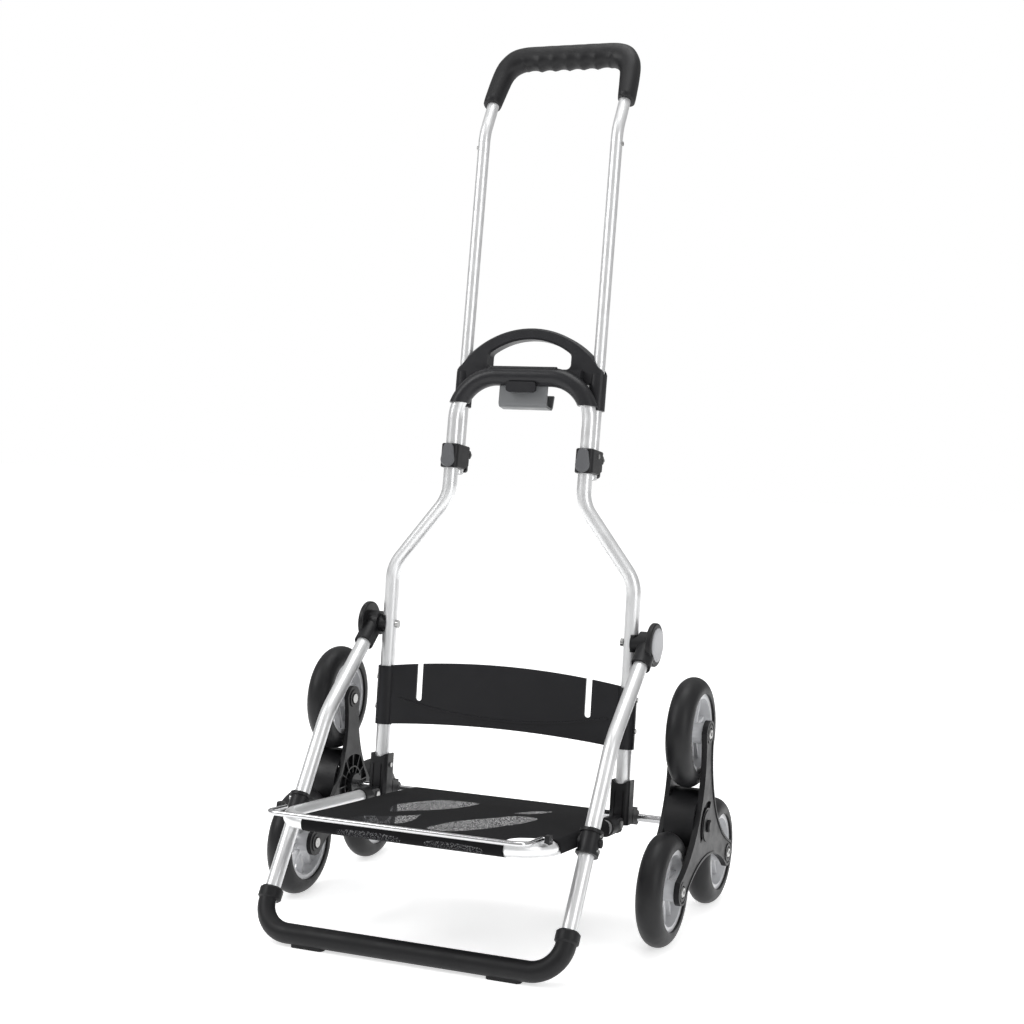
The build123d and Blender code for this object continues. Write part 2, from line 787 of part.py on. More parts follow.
def wheel_spacers():
    """Steel tubes between the carrier's faces, on which the wheels turn."""
    ring = Circle(wheel_bolt_radius + spacer_wall) - Circle(wheel_bolt_radius + fit_gap)
    tube = side_sketch(ring, -carrier_inner_face, carrier_inner_face)
    return group(*[wheel_place(angle) * tube for angle in arm_angles])


def tyre():
    """Plump solid tyre of round section, seated on the rim."""
    centre = wheel_radius - tyre_section_radius
    section = Pos(0, centre) * Circle(tyre_section_radius)
    section &= Pos(0, rim_radius + 60) * Rectangle(200, 120)
    return revolve(section, Axis.X)


def rim():
    """Rim ring, five split spokes and a hub, in one moulding."""
    half = rim_half_width
    ring = Circle(rim_radius) - Circle(rim_radius - rim_wall)
    solid = side_sketch(ring, -half, half)
    spokes = Sketch()
    span = rim_radius - 3
    for i in range(spoke_pairs):
        for side in (-1, 1):
            line = Rectangle(span, spoke_width, align=(Align.MIN, Align.CENTER))
            spokes += Rot(0, 0, 360 / spoke_pairs * i) * (Pos(0, side * 5) * Rot(0, 0, side * 9) * line)
    spokes &= Circle(rim_radius - 2)
    solid += side_sketch(spokes, -spoke_half_depth, spoke_half_depth)
    solid += side_sketch(Circle(wheel_hub_radius), -hub_half_width, hub_half_width)
    bore = Circle(wheel_bolt_radius + spacer_wall + run_gap)
    return solid - side_sketch(bore, -hub_half_width - 1, hub_half_width + 1)


# ------------------------------------------------------ front support leg
upper_angle = atan2(leg_hinge[0] - leg_knee_y, leg_hinge[1] - leg_knee_z)
lower_angle = atan2(leg_knee_y - foot_y, leg_knee_z - foot_z)
leg_socket_seat = 22.0


def on_upper_leg(x, distance):
    """Point on the upper straight part of the leg, from the hinge."""
    return (x, leg_hinge[0] - distance * sin(upper_angle),
            leg_hinge[1] - distance * cos(upper_angle))


def leg_points(x_half, start):
    right = [on_upper_leg(x_half, start), (x_half, leg_knee_y, leg_knee_z),
             (x_half, foot_y, foot_z)]
    left = [(-x, y, z) for x, y, z in reversed(right)]
    radii = [leg_knee_radius, foot_corner_radius]
    return right + left, radii + radii[::-1]


def support_leg_tube():
    points, radii = leg_points(leg_half, leg_socket_seat)
    return pipe(points, radii, frame_tube_radius, frame_tube_radius - frame_tube_wall)


def on_lower_leg(x, rise):
    """Point on the lower straight part of the leg, up the slope from the foot corner."""
    return (x, foot_y + rise * sin(lower_angle), foot_z + rise * cos(lower_angle))


def foot_sleeve():
    """Rubber channel around the foot bar and its bends, open to the rear."""
    ends = [on_lower_leg(side * leg_half, sleeve_rise + 6) for side in (1, -1)]
    corners = [(leg_half, foot_y, foot_z), (-leg_half, foot_y, foot_z)]
    points = [ends[0], *corners, ends[1]]
    radii = [foot_corner_radius, foot_corner_radius]
    path = rounded_path(points, radii)
    outer = frame_tube_radius + sleeve_wall
    start = Plane(origin=path @ 0, x_dir=(1, 0, 0), z_dir=path % 0)
    ring = Circle(outer) - Circle(frame_tube_radius + fit_gap)
    # section axes at the right end: x outwards, y to the front of the leg
    mouth = Polygon((0, 0), (-30, 9), (-30, -30), (9, -30), align=None)
    sleeve = sweep(start * (ring - mouth), path=path)
    for side in (1, -1):
        low = on_lower_leg(side * leg_half, sleeve_rise - 8)
        high = on_lower_leg(side * leg_half, sleeve_rise + 8)
        ear = rod(low, high, ear_radius)
        ear = chamfer(ear.edges().filter_by(GeomType.CIRCLE), 2.5)
        sleeve += ear
        pad = rounded_block((pad_x - pad_length / 2, pad_x + pad_length / 2),
                            (foot_y - pad_width / 2, foot_y + pad_width / 2),
                            (0, foot_z), 5)
        sleeve += pad if side > 0 else left_of(pad)
    leg_path, leg_radii = leg_points(leg_half, leg_socket_seat)
    return sleeve - pipe(leg_path, leg_radii, frame_tube_radius + fit_gap)


hinge_inner_x = frame_half + frame_tube_radius + 3.0
hinge_disc_inner = 199.0
hinge_disc_outer = 206.5


def leg_socket():
    """Moulded hinge half: round disc, barrel and the mouth that holds the leg."""
    y, z = leg_hinge
    disc = cross_rod(hinge_disc_inner, hinge_disc_outer, y, z, hinge_disc_radius)
    disc = fillet(disc.edges(), 2.2)
    barrel = cross_rod(hinge_inner_x + hinge_gap, hinge_disc_inner + 2, y, z, hinge_barrel_radius)
    mouth_end = leg_socket_seat + leg_socket_length
    mouth = rod(on_upper_leg(leg_half, 6), on_upper_leg(leg_half, mouth_end), leg_socket_radius)
    solid = disc + barrel + mouth
    solid -= block((0, hinge_inner_x + hinge_gap), (-400, 400), (0, 600))
    solid -= rod(on_upper_leg(leg_half, leg_socket_seat), on_upper_leg(leg_half, 200),
                 frame_tube_radius + fit_gap)
    solid -= cross_rod(0, 300, y, z, hinge_bolt_radius + run_gap)
    solid -= cross_rod(hinge_disc_outer, 300, y, z, hinge_cap_radius + fit_gap)
    nut_pocket = cross_rod(hinge_disc_outer - 4.5, 300, y, z, 7.5)
    return solid - nut_pocket


def hinge_cap():
    """Pale round cover over the hinge bolt."""
    y, z = leg_hinge
    cap = cross_rod(hinge_disc_outer, hinge_disc_outer + 3.0, y, z, hinge_cap_radius)
    return chamfer(cap.edges().group_by(Axis.X)[-1], 1.4, 4.0)


def hinge_saddle():
    """Fixed hinge half: hugs the outer side of the frame tube."""
    height = 11.0
    outer = frame_tube_radius + 2.6
    shell = Rot(90, 0, 0) * Cylinder(outer, 2 * height)
    shell &= block((3, 40), (-height, height), (-40, 40))
    solid = frame_plane * (Pos(frame_half, leg_hinge_v, 0) * shell)
    y, z = leg_hinge
    solid += cross_rod(frame_half + 2, hinge_inner_x, y, z, hinge_boss_radius)
    solid -= frame_plane * rod((frame_half, 0, 0), (frame_half, 300, 0),
                               frame_tube_radius + fit_gap)
    return solid - cross_rod(0, 300, y, z, hinge_bolt_radius + fit_gap)


def hinge_bolts():
    """Bolts through the frame tube and the leg hinges, with their nuts."""
    y, z = leg_hinge
    inner_side = frame_half - frame_tube_radius
    bolt = cross_rod(inner_side - 1, hinge_disc_outer - 0.4, y, z, hinge_bolt_radius)
    bolt += cross_rod(inner_side - 3.6, inner_side + 0.2, y, z, 5.2)
    bolt += cross_rod(hinge_disc_outer - 4.2, hinge_disc_outer - 0.6, y, z, 6.2)
    head_seat = frame_plane * rod((frame_half, 0, 0), (frame_half, 400, 0), frame_tube_radius)
    shaft = cross_rod(inner_side - 1, hinge_disc_outer - 1, y, z, hinge_bolt_radius)
    return both((bolt - head_seat) + shaft)


def collar():
    """Sleeve on the leg whose inward stub steadies the lowered platform."""
    rise = (collar_below_hinge_z - foot_z) / cos(lower_angle)
    half = collar_length / 2
    low = on_lower_leg(leg_half, rise - half)
    high = on_lower_leg(leg_half, rise + half)
    solid = rod(low, high, collar_radius)
    for end in (-half, half - 4):
        flare_low = on_lower_leg(leg_half, rise + end)
        flare_high = on_lower_leg(leg_half, rise + end + 4)
        solid += rod(flare_low, flare_high, collar_radius + collar_flare)
    centre = on_lower_leg(leg_half, rise)
    limit = frame_half + frame_tube_radius + cloth_edge_room
    solid += cross_rod(limit, leg_half, centre[1], centre[2], 8.5)
    outer_rib = leg_half + collar_radius + 2.2
    solid += cross_rod(leg_half, outer_rib, centre[1] + 3, centre[2], 5.5)
    solid -= block((0, limit), (-400, 400), (0, 600))
    return solid - rod(on_lower_leg(leg_half, rise - 40), on_lower_leg(leg_half, rise + 40),
                       frame_tube_radius + fit_gap)


def collar_screws():
    """Two screws on the outer side of each collar."""
    rise = (collar_below_hinge_z - foot_z) / cos(lower_angle)
    screws = []
    for step in (-10, 10):
        _, y, z = on_lower_leg(leg_half, rise + step)
        seat = leg_half + collar_radius
        screws.append(cross_rod(seat - 5, seat + 2, y, z, 1.6)
                      + cross_rod(seat - 0.2, seat + 2.2, y, z, 3.0))
    leg_path, leg_radii = leg_points(leg_half, leg_socket_seat)
    return both(group(*screws) - pipe(leg_path, leg_radii, frame_tube_radius))


# ------------------------------------------------------------ platform
def platform_local(x, forward, lift=0.0):
    return platform_plane.from_local_coords(Vector(x, -forward, lift))


def platform_tube():
    right = [platform_local(frame_half, 18), platform_local(frame_half, platform_reach)]
    left = [Vector(-p.X, p.Y, p.Z) for p in reversed(right)]
    radii = [platform_corner_radius, platform_corner_radius]
    return pipe(right + left, radii, frame_tube_radius, frame_tube_radius - frame_tube_wall)


def platform_fitting():
    """Forked end of the platform tube, pinned to the bracket's tongue."""
    inner = tongue_half + side_gap
    cheek_out = inner + 4.6
    cheeks = rounded_block((-cheek_out, cheek_out), (-20, tongue_radius),
                           (-tongue_radius, tongue_radius), tongue_radius - 0.5, Axis.X)
    sleeve = rod((0, -fitting_end, 0), (0, -14, 0), fitting_radius)
    solid = cheeks + sleeve
    solid -= block((-inner, inner), (-13.5, 30), (-30, 30))
    solid -= rod((0, -60, 0), (0, -18, 0), frame_tube_radius + fit_gap)
    solid -= rod((-30, 0, 0), (30, 0, 0), platform_pin_radius + fit_gap)
    return platform_plane * (Pos(frame_half, 0, 0) * solid)


def platform_pins():
    """Hinge pins with flat heads, through fork and tongue."""
    cheek_out = tongue_half + side_gap + 4.6
    pin = rod((-cheek_out - 1, 0, 0), (cheek_out + 1, 0, 0), platform_pin_radius)
    for side in (-1, 1):
        pin += rod((side * cheek_out, 0, 0), (side * (cheek_out + 1.6), 0, 0), 5.0)
    return both(platform_plane * (Pos(frame_half, 0, 0) * pin))


def platform_bail():
    """Bright wire hoop that lies on the front bar and swings up."""
    right = [
        platform_local(frame_half + 7, bail_pivot_back, bail_lift),
        platform_local(bail_half, bail_pivot_back, bail_lift),
        platform_local(bail_half, bail_reach, bail_lift),
    ]
    left = [Vector(-p.X, p.Y, p.Z) for p in reversed(right)]
    radii = [4.5, bail_corner_radius]
    return pipe(right + left, radii + radii[::-1], wire_radius)


def bail_clips():
    """Saddles on the side tubes that carry the bail's bent ends."""
    clip = rounded_block((171.2, 177.2), (-bail_pivot_back - 6, -bail_pivot_back + 6),
                         (0, bail_lift + wire_radius + 2.4), 2.5, Axis.X)
    clip -= rod((frame_half, -400, 0), (frame_half, 0, 0), frame_tube_radius + fit_gap)
    clip -= rod((0, -bail_pivot_back, bail_lift), (300, -bail_pivot_back, bail_lift),
                wire_radius + run_gap)
    clip -= block((0, 300), (-400, 0), (-50, frame_tube_radius * 0.5))
    return both(platform_plane * clip)


def platform_fabric():
    """Cloth stretched over the side tubes, with a hem around the front bar."""
    low = frame_tube_radius + fabric_lift
    high = low + fabric_thickness
    right = frame_half - 2
    sheet = block((fabric_left, right), (-fabric_side_front, -fitting_end - 6), (low, high))
    sheet += block((fabric_left, fabric_rear_right), (-fitting_end - 8, -fabric_back), (low, high))
    front = platform_reach
    sheet += block((fabric_left, fabric_front_right), (-front, -fabric_side_front + 5),
                   (low, high))
    hem = rod((hem_left, -front, 0), (hem_right, -front, 0), high)
    hem -= block((-200, 200), (-front, 0), (-40, low))
    hem_bore = rod((-200, -front, 0), (200, -front, 0), low)
    solid = platform_plane * (sheet + hem - hem_bore)
    right = [platform_local(frame_half, 18), platform_local(frame_half, platform_reach)]
    left = [Vector(-p.X, p.Y, p.Z) for p in reversed(right)]
    radii = [platform_corner_radius, platform_corner_radius]
    return solid - pipe(right + left, radii, low - 0.1)


# ---------------------------------------------------------------- assembly
nodes = {
    "main_frame_tube": main_frame_tube(),
    "telescopic_tube": telescopic_tube(),
    "grip_front_shell": handle_grip_shell(True),
    "grip_rear_shell": handle_grip_shell(False),
    "handle_rivets": handle_rivets(),
    "carry_handle_front": carry_handle_front(),
    "carry_handle_rear": carry_handle_rear(),
    "slide_bushes": slide_bushes(),
    "bag_hook": bag_hook(),
    "clamp_plates": both(clamp_plate()),
    "clamp_shoes": both(clamp_shoe()),
    "clamp_pins": both(group(clamp_cross_screw(0), clamp_lever_pin(0))),
    "hinge_bolts": hinge_bolts(),
    "support_leg_tube": support_leg_tube(),
    "foot_sleeve": foot_sleeve(),
    "hinge_caps": both(hinge_cap()),
    "collar_screws": collar_screws(),
    "hinge_saddles": both(hinge_saddle()),
    "platform_tube": platform_tube(),
    "platform_fabric": platform_fabric(),
    "platform_bail": platform_bail(),
    "platform_pins": platform_pins(),
    "bail_clips": bail_clips(),
    "axle_rod": axle_rod(),
    "axle_caps": axle_caps(),
}

screws = screw_set(0)
nodes["frame_screws"] = both(screws)
nodes["back_panel"] = back_panel() - screws - left_of(screws)
nodes["telescopic_tube"] = nodes["telescopic_tube"] - nodes["handle_rivets"]
nodes["carry_handle_screws"] = carry_handle_screws()
for name in ("carry_handle_front", "carry_handle_rear"):
    nodes[name] = nodes[name] - nodes["carry_handle_screws"]
nodes["main_frame_tube"] = nodes["main_frame_tube"] - screws - left_of(screws)
nodes["leg_collars"] = both(collar() - nodes["collar_screws"])

paired = {
    "clamp_body": clamp_body(),
    "clamp_lever": clamp_lever(),
    "leg_socket": leg_socket(),
    "platform_fitting": platform_fitting(),
    "bracket": bracket() - screws,
    "carrier_outer": carrier_outer(),
    "carrier_inner": carrier_inner(),
    "wheel_bolts": wheel_bolts(),
    "wheel_spacers": wheel_spacers(),
}
for name, shape in paired.items():
    nodes[name + "_right"] = shape
    nodes[name + "_left"] = left_of(shape)

tyre_shape = tyre()
rim_shape = rim()
for name, angle in zip(arm_names, arm_angles):
    for piece, shape in (("tyre", tyre_shape), ("rim", rim_shape)):
        placed = wheel_place(angle) * shape
        nodes[f"{piece}_right_{name}"] = placed
        nodes[f"{piece}_left_{name}"] = left_of(placed)

# the origin goes to the centre of the bottom of the whole object
whole = Compound(children=[solid for shape in nodes.values() for solid in shape.solids()])
box = whole.bounding_box()
shift = Pos(-box.center().X, -box.center().Y, -box.min.Z)

os.makedirs("parts", exist_ok=True)
for name, shape in nodes.items():
    solids = [shift * solid for solid in shape.solids()]
    piece = solids[0] if len(solids) == 1 else Compound(children=solids)
    export_step(piece, f"parts/{name}.step")

print(f"{len(nodes)} nodes, size {box.size.X:.1f} x {box.size.Y:.1f} x {box.size.Z:.1f} mm")
print(f"axle at y {-box.center().Y:.3f}, z {axle_z - box.min.Z:.3f}")
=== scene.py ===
import json
import math

import bpy
from mathutils import Matrix, Vector


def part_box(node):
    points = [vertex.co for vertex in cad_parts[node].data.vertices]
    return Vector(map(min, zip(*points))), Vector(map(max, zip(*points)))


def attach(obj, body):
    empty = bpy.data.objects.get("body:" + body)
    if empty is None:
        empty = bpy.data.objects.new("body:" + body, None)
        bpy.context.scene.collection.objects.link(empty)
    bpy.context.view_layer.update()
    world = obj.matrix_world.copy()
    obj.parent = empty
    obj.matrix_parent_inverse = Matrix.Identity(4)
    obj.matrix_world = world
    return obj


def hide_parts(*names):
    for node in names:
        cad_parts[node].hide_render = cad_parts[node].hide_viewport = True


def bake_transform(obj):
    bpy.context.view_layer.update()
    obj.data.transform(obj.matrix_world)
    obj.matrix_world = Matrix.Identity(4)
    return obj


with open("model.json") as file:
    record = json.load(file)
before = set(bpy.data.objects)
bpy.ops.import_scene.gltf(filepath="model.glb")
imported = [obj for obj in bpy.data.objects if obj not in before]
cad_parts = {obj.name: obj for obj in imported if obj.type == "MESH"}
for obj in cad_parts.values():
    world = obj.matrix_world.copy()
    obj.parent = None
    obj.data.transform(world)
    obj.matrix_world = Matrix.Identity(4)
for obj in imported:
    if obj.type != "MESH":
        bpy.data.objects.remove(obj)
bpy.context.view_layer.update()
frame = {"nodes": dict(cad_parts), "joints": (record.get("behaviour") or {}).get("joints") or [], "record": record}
nodes = frame["nodes"]
joint_at = {j["name"]: Vector(j["pos_m"]) for j in frame["joints"] if "pos_m" in j}
axle = joint_at["carrier_spin_left"]


# --------------------------------------------------------------- materials
def new_material(name):
    mat = bpy.data.materials.new(name)
    mat.use_nodes = True
    tree = mat.node_tree
    return mat, tree, tree.nodes["Principled BSDF"]


def noise(tree, scale, detail=3.0, stretch=None):
    """Noise in object coordinates, stretched along an axis when asked."""
    coords = tree.nodes.new("ShaderNodeTexCoord")
    mapping = tree.nodes.new("ShaderNodeMapping")
    mapping.inputs["Scale"].default_value = stretch or (1, 1, 1)
    tex = tree.nodes.new("ShaderNodeTexNoise")
    tex.inputs["Scale"].default_value = scale
    tex.inputs["Detail"].default_value = detail
    tree.links.new(coords.outputs["Object"], mapping.inputs["Vector"])
    tree.links.new(mapping.outputs["Vector"], tex.inputs["Vector"])
    return tex.outputs["Fac"]


def ramp(tree, value, low, high, start=0.35, end=0.65):
    node = tree.nodes.new("ShaderNodeMapRange")
    node.inputs["From Min"].default_value = start
    node.inputs["From Max"].default_value = end
    node.inputs["To Min"].default_value = low
    node.inputs["To Max"].default_value = high
    tree.links.new(value, node.inputs["Value"])
    return node.outputs["Result"]


def tint(tree, value, dark, light):
    node = tree.nodes.new("ShaderNodeMix")
    node.data_type = "RGBA"
    node.inputs[6].default_value = (*dark, 1)
    node.inputs[7].default_value = (*light, 1)
    tree.links.new(value, node.inputs[0])
    return node.outputs[2]


def bump(tree, bsdf, value, strength, distance):
    node = tree.nodes.new("ShaderNodeBump")
    node.inputs["Strength"].default_value = strength
    node.inputs["Distance"].default_value = distance
    tree.links.new(value, node.inputs["Height"])
    tree.links.new(node.outputs["Normal"], bsdf.inputs["Normal"])


def surface(name, colour, rough, metal=0.0, vary=0.06, grain=1800.0, relief=0.12, stretch=None):
    """Colour and roughness that drift a little, with a fine grain."""
    mat, tree, bsdf = new_material(name)
    broad = noise(tree, 14.0, 4.0)
    dark = tuple(c * (1 - vary) for c in colour)
    light = tuple(min(1.0, c * (1 + vary)) for c in colour)
    tree.links.new(tint(tree, broad, dark, light), bsdf.inputs["Base Color"])
    smear = noise(tree, 60.0, 4.0, stretch)
    tree.links.new(ramp(tree, smear, rough - 0.04, rough + 0.05), bsdf.inputs["Roughness"])
    bsdf.inputs["Metallic"].default_value = metal
    bsdf.inputs["Specular IOR Level"].default_value = 0.3
    bump(tree, bsdf, noise(tree, grain, 2.0, stretch), relief, 0.0002)
    return mat


finishes = {
    "satin_tube": surface("satin_tube", (0.80, 0.805, 0.81), 0.36, 0.72, 0.01, 2600, 0.02),
    "grip_plastic": surface("grip_plastic", (0.010, 0.010, 0.011), 0.47, 0, 0.1, 1500, 0.25),
    "handle_plastic": surface("handle_plastic", (0.016, 0.016, 0.018), 0.36, 0, 0.1, 1700, 0.12),
    "charcoal_plastic": surface("charcoal_plastic", (0.009, 0.009, 0.010), 0.42, 0, 0.1, 1600, 0.2),
    "grey_plastic": surface("grey_plastic", (0.11, 0.112, 0.118), 0.42, 0, 0.05, 1600, 0.15),
    "hook_plastic": surface("hook_plastic", (0.16, 0.165, 0.17), 0.38, 0, 0.05, 1600, 0.1),
    "pale_plastic": surface("pale_plastic", (0.46, 0.465, 0.48), 0.36, 0, 0.03, 1600, 0.1),
    "panel_plastic": surface("panel_plastic", (0.010, 0.010, 0.012), 0.33, 0, 0.1, 1500, 0.12),
    "bush_plastic": surface("bush_plastic", (0.009, 0.009, 0.010), 0.5, 0, 0.05, 1600, 0.15),
    "zinc": surface("zinc", (0.42, 0.42, 0.415), 0.28, 1.0, 0.08, 900, 0.1),
    "chrome": surface("chrome", (0.62, 0.62, 0.63), 0.16, 1.0, 0.02, 900, 0.02),
    "foot_rubber": surface("foot_rubber", (0.007, 0.007, 0.008), 0.50, 0, 0.15, 1300, 0.3),
    "tyre_rubber": surface("tyre_rubber", (0.010, 0.010, 0.011), 0.46, 0, 0.15, 1300, 0.3),
    "rim_plastic": surface("rim_plastic", (0.60, 0.605, 0.62), 0.34, 0.1, 0.04, 1600, 0.12),
}


def cloth_material(name, colour, mesh_colour):
    """Plain weave, with an open net wherever the sheet's own mask says so."""
    mat, tree, bsdf = new_material(name)
    mask = tree.nodes.new("ShaderNodeAttribute")
    mask.attribute_name = "net"
    net = ramp(tree, mask.outputs["Fac"], 0.0, 1.0, -0.0004, 0.0004)
    fade = noise(tree, 30.0, 4.0)
    dark = tuple(c * 0.8 for c in colour)
    weave = tint(tree, fade, dark, colour)
    mixer = tree.nodes.new("ShaderNodeMix")
    mixer.data_type = "RGBA"
    mixer.inputs[7].default_value = (*mesh_colour, 1)
    tree.links.new(net, mixer.inputs[0])
    tree.links.new(weave, mixer.inputs[6])
    tree.links.new(mixer.outputs[2], bsdf.inputs["Base Color"])
    bsdf.inputs["Roughness"].default_value = 0.85
    bsdf.inputs["Specular IOR Level"].default_value = 0.12
    bsdf.inputs["Sheen Weight"].default_value = 0.02
    holes = tree.nodes.new("ShaderNodeTexVoronoi")
    holes.inputs["Scale"].default_value = 620.0
    coords = tree.nodes.new("ShaderNodeTexCoord")
    tree.links.new(coords.outputs["Object"], holes.inputs["Vector"])
    open_part = ramp(tree, holes.outputs["Distance"], 0.75, 0.0, 0.12, 0.5)
    through = tree.nodes.new("ShaderNodeMath")
    through.operation = "MULTIPLY"
    tree.links.new(open_part, through.inputs[0])
    tree.links.new(net, through.inputs[1])
    solid = tree.nodes.new("ShaderNodeMath")
    solid.operation = "SUBTRACT"
    solid.inputs[0].default_value = 1.0
    tree.links.new(through.outputs[0], solid.inputs[1])
    tree.links.new(solid.outputs[0], bsdf.inputs["Alpha"])
    bump(tree, bsdf, noise(tree, 1400.0, 2.0), 0.45, 0.0004)
    return mat


finishes["cloth"] = cloth_material("cloth", (0.006, 0.006, 0.007), (0.016, 0.016, 0.018))
for part in frame["record"]["subparts"]:
    nodes[part["node"]].data.materials.clear()
    nodes[part["node"]].data.materials.append(finishes[part["material_slot"]])


def add_piece(name, verts, faces, finish, smooth=True):
    mesh = bpy.data.meshes.new(name)
    mesh.from_pydata([tuple(v) for v in verts], [], faces)
    mesh.update()
    mesh.materials.append(finishes[finish])
    for face in mesh.polygons:
        face.use_smooth = smooth
    piece = bpy.data.objects.new(name, mesh)
    bpy.context.scene.collection.objects.link(piece)
    return piece


def spline(points, samples):
    """Smooth curve through the points, evenly sampled by parameter."""
    pts = [Vector(p) for p in points]
    pts = [2 * pts[0] - pts[1]] + pts + [2 * pts[-1] - pts[-2]]
    spans = len(pts) - 3
    out = []
    for i in range(samples):
        t = i / (samples - 1) * spans
        k = min(int(t), spans - 1)
        u = t - k
        a, b, c, d = pts[k:k + 4]
        out.append(0.5 * (2 * b + (c - a) * u + (2 * a - 5 * b + 4 * c - d) * u * u
                          + (3 * b - a - 3 * c + d) * u ** 3))
    return out


# -------------------------------------------------------------------- grip
lean = math.radians(32.3)
grip_up = Vector((0, math.sin(lean), math.cos(lean)))
grip_front = Vector((0, -math.cos(lean), math.sin(lean)))
grip_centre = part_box("telescopic_tube")[1]
crown = Vector((0, grip_centre.y, grip_centre.z))
bar_radius = 0.008
bar_line = crown - bar_radius * Vector((0, 1, 1))
grip_root = bar_line - 0.082 * grip_up
outer_line = spline([(109, 4), (108.6, 20), (107.5, 43), (105, 65), (100, 80), (89, 94.6),
                     (72, 101.6), (46, 103), (0, 103)], 90)
inner_line = spline([(86, 5), (84, 20), (81.5, 38), (79, 52), (74, 61.5), (66, 66.5),
                     (58, 67.5), (46, 67), (0, 67)], 90)


def bar_section(s):
    """Outer and inner outline points of the right half at s from foot to middle."""
    k = min(int(s * 89), 88)
    u = s * 89 - k
    return outer_line[k].lerp(outer_line[k + 1], u), inner_line[k].lerp(inner_line[k + 1], u)


def grip_ring(outer, inner, half_depth, x_sign):
    mid = (outer + inner) / 2
    across = (outer - inner) / 2
    ring = []
    for i in range(40):
        a = 2 * math.pi * i / 40
        ca, sa = math.cos(a), math.sin(a)
        fat = 2.15
        u = math.copysign(abs(ca) ** (2 / fat), ca)
        w = math.copysign(abs(sa) ** (2 / fat), sa)
        flat = mid + across * u
        place = grip_root + grip_up * flat.y / 1000 + grip_front * w * half_depth / 1000
        ring.append(place + Vector((x_sign * flat.x / 1000, 0, 0)))
    return ring


rings = []
steps = 150
for i in range(steps + 1):
    s = i / steps
    outer, inner = bar_section(s)
    outer, inner = outer.copy(), inner.copy()
    if inner.x < 62:
        phase = (inner.x / 20.6) % 1.0
        edge = min(1.0, (62 - inner.x) / 4)
        inner.y += edge * 3.4 * (abs(math.sin(math.pi * phase)) - 0.55)
    depth = 14.6 - 1.2 * math.exp(-((s - 0.0) / 0.02) ** 2)
    rings.append((outer, inner, depth))
grip_verts = []
loops = []
for side in (1, -1):
    ordered = rings if side > 0 else rings[::-1][1:]
    for outer, inner, depth in ordered:
        loops.append(grip_ring(outer, inner, depth, side))
for side, end in ((1, 0), (-1, -1)):
    loop = loops[end]
    middle = sum(loop, Vector()) / len(loop)
    shrunk = [middle + (p - middle) * 0.88 - grip_up * 0.0012 for p in loop]
    if end == 0:
        loops.insert(0, shrunk)
    else:
        loops.append(shrunk)
grip_faces = []
for loop in loops:
    grip_verts += loop
for i in range(len(loops) - 1):
    for k in range(40):
        a, b = i * 40 + k, i * 40 + (k + 1) % 40
        grip_faces.append((a, b, b + 40, a + 40))
grip_faces.append(tuple(range(39, -1, -1)))
last = (len(loops) - 1) * 40
grip_faces.append(tuple(range(last, last + 40)))
grip = add_piece("grip_moulding", grip_verts, grip_faces, "grip_plastic")
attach(grip, "handle")
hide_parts("grip_front_shell", "grip_rear_shell")

# ------------------------------------------------------------------- cloth
tilt = math.radians(5.45)
pin = joint_at["platform_fold"]
ahead_dir = Vector((0, -math.cos(tilt), math.sin(tilt)))
lift_dir = Vector((0, math.sin(tilt), math.cos(tilt)))
tube_r = 10.0
reach = 255.0
axle_local = Vector((0, axle.y - pin.y, axle.z - pin.z))
axle_d = axle_local.dot(ahead_dir) * 1000
axle_n = axle_local.dot(lift_dir) * 1000


def profile(step):
    """Points (ahead, up) of the cloth's section, from the rear hem to the front hem."""
    points = []
    for deg in range(-60, 91, 15):
        a = math.radians(180 - deg)
        points.append((axle_d + 5.2 * math.cos(a), axle_n + 5.2 * math.sin(a)))
    for d in (-44, -32, -18, -4, 12, 28, 50, 80, 110, 140, 170, 200, 225, 243):
        near = (d - axle_d) / (reach - axle_d)
        rise = axle_n + 5.2 + min(1.0, (d - axle_d) / 80) * (tube_r + 0.2 - axle_n - 5.2)
        points.append((d, rise - 0.9 * math.sin(math.pi * near)))
    for deg in range(90, -91, -15):
        a = math.radians(deg)
        points.append((reach + tube_r * math.cos(a), tube_r * math.sin(a)))
    points += [(reach - 7, -tube_r - 0.1), (reach - 16, -tube_r - 0.4)]
    out = [points[0]]
    for a, b in zip(points, points[1:]):
        length = math.dist(a, b)
        parts = max(1, round(length / step))
        out += [(a[0] + (b[0] - a[0]) * i / parts, a[1] + (b[1] - a[1]) * i / parts)
                for i in range(1, parts + 1)]
    return out


section = profile(2.6)
run = [0.0]
for a, b in zip(section, section[1:]):
    run.append(run[-1] + math.dist(a, b))
wrap_r = 10.15
wrap_x = 171.5


def right_limit(d):
    """Far right of the cloth's cut, measured along the cloth, for each place ahead."""
    table = [(-70, 150), (2, 151), (18, 153), (34, 160), (44, 193), (214, 193), (215, 187),
             (222, 150), (232, 136), (246, 130), (400, 130)]
    for (d0, x0), (d1, x1) in zip(table, table[1:]):
        if d <= d1:
            return x0 + (x1 - x0) * max(0.0, (d - d0) / (d1 - d0))
    return 130.0


